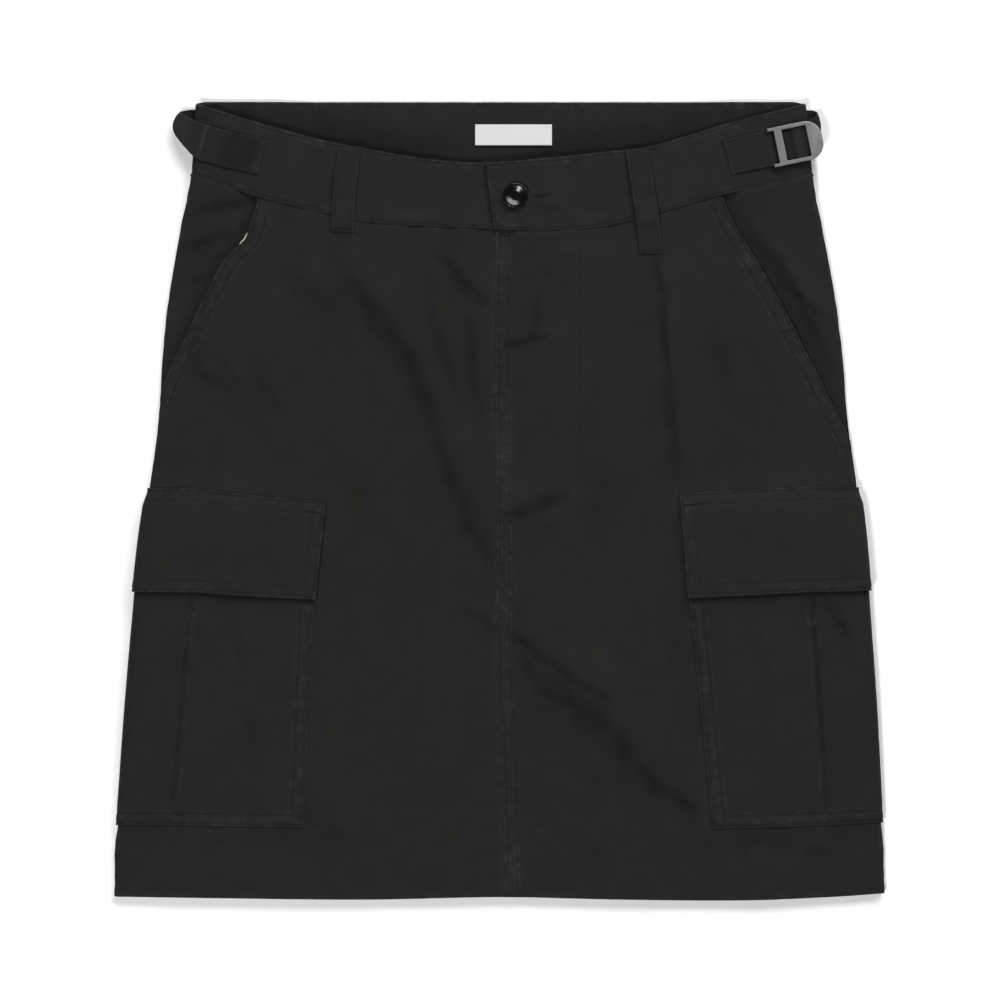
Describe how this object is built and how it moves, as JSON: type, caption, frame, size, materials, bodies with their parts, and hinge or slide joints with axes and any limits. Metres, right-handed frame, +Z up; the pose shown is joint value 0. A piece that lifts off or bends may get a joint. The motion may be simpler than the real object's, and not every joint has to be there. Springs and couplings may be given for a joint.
{
  "type": "cargo utility skirt laid flat",
  "caption": "Cargo utility skirt in heavy cotton twill, laid flat: buttoned waistband with side straps, slant pockets and flapped cargo pockets.",
  "frame": {"origin": "the middle of the skirt's outline on the surface that it lies on", "axes": "+Z up out of the surface, +Y towards the waist, +X to the right as seen from above"},
  "size_m": [0.463, 0.4795, 0.0135],
  "materials": {
    "twill": "matte",
    "bag_cloth": "matte",
    "label_cloth": "satin",
    "buckle_metal": "satin",
    "button_plastic": "gloss"
  },
  "bodies": {
    "root": {"back_panel": "twill", "front_panel_left": "twill", "front_panel_right": "twill", "pocket_facing_left": "twill", "pocket_facing_right": "twill", "pocket_bag_left": "bag_cloth", "pocket_bag_right": "bag_cloth", "fly_facing": "twill", "fly_strip": "twill", "centre_seam_strip": "twill", "waistband_back": "twill", "waistband_front_left": "twill", "waistband_front_right": "twill", "belt_loop_left": "twill", "belt_loop_right": "twill", "side_strap_left": "twill", "side_strap_right": "twill", "slide_buckle": "buckle_metal", "button": "button_plastic", "label": "label_cloth", "cargo_pocket_left": "twill", "cargo_pocket_right": "twill", "cargo_flap_left": "twill", "cargo_flap_right": "twill"}
  },
  "joints": []
}
